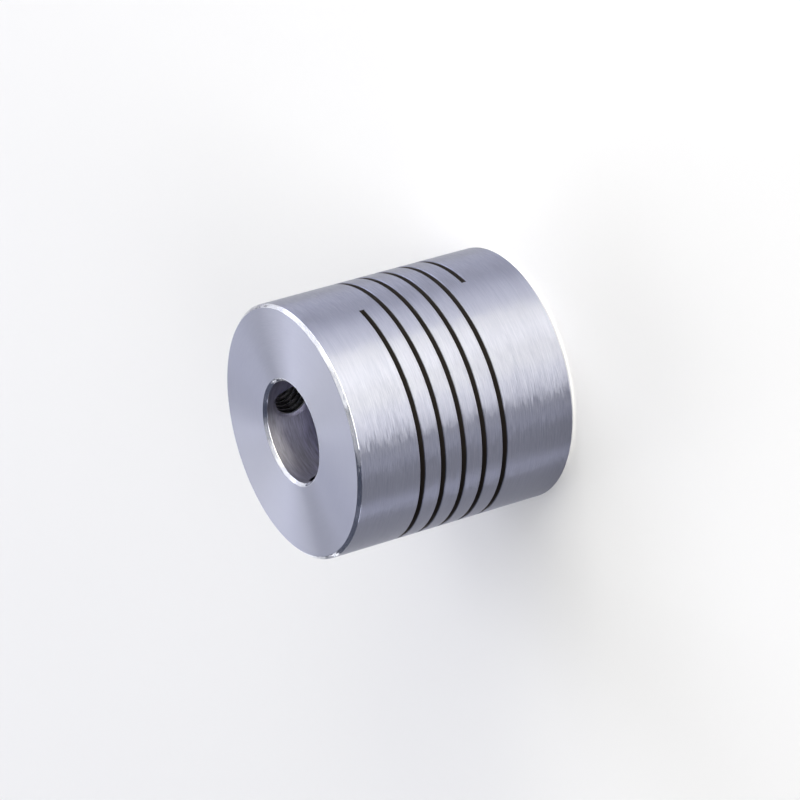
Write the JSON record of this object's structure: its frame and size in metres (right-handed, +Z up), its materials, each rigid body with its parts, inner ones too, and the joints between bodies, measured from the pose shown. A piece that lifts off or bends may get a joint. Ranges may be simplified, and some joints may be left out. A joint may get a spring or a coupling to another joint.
{
  "type": "helical beam coupling",
  "caption": "One-piece flexible shaft coupling: a turned cylinder with a helical cut, a shaft bore in each end and radial set screws.",
  "frame": {"origin": "centre of the lower end face, on the axis of both bores", "axes": "+Z up along the axis of both bores, from the lower hub to the upper hub; the helical cut is a right-hand helix about +Z; the set screws point away from the axis at 60 and 180 degrees from +X towards +Y"},
  "size_m": [0.025, 0.025, 0.024],
  "materials": {
    "turned_aluminium": "satin turned",
    "black_oxide_steel": "black oxide, slightly oiled"
  },
  "bodies": {
    "root": {"coupling_body": "turned_aluminium", "set_screw_top_a": "black_oxide_steel", "set_screw_top_b": "black_oxide_steel", "set_screw_bottom_a": "black_oxide_steel", "set_screw_bottom_b": "black_oxide_steel"}
  },
  "joints": []
}
